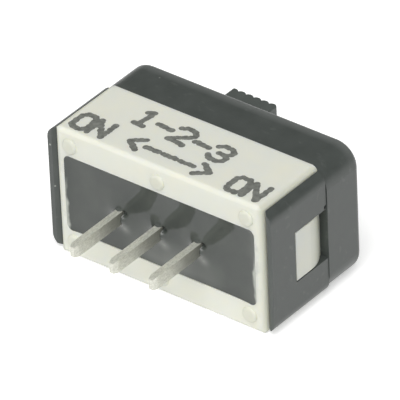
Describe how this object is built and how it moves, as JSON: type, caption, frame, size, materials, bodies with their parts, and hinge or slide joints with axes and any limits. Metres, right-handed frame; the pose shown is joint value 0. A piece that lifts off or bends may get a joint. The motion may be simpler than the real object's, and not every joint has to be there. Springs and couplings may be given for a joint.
{
  "type": "slide switch",
  "caption": "Miniature through-hole slide switch with a white base sealed by resin, a black clipped-on housing, flat pins and a ridged sliding knob.",
  "frame": {"origin": "on the middle terminal's pitch line, in the plane of the standoff pads' tips, which is the face of the circuit board that the switch is fitted to; the pitch line is the middle of the body across its width", "axes": "+X is the way the knob slides from its rest end, along the long side; -Y is the way the terminals point and +Y the way the knob points; +Z is out of the printed long side, with the switch lying on its other long side"},
  "size_m": [0.0146, 0.0138, 0.0078],
  "materials": {
    "black_plastic": "moulded, fine satin grain",
    "knob_plastic": "moulded, satin",
    "white_plastic": "moulded, warm white, satin",
    "sealing_resin": "poured and glossy",
    "tinned_metal": "tin plated, dull bright",
    "contact_silver": "silver faced",
    "contact_brass": "stamped strip",
    "spring_steel": "drawn wire and strip"
  },
  "bodies": {
    "body": {"housing": "black_plastic", "base": "white_plastic", "epoxy_seal": "sealing_resin", "detent_spring": "spring_steel", "terminal_left": "tinned_metal", "terminal_middle": "tinned_metal", "terminal_right": "tinned_metal", "contact_button_left": "contact_silver", "contact_button_middle": "contact_silver", "contact_button_right": "contact_silver"},
    "slider": {"slider": "knob_plastic", "bridge_contact": "contact_brass", "contact_spring": "spring_steel"}
  },
  "joints": [
    {"name": "knob_slide", "type": "slide", "parent": "body", "child": "slider", "axis": [1, 0, 0], "range_m": [0, 0.00254], "deforming": ["detent_spring"]}
  ]
}
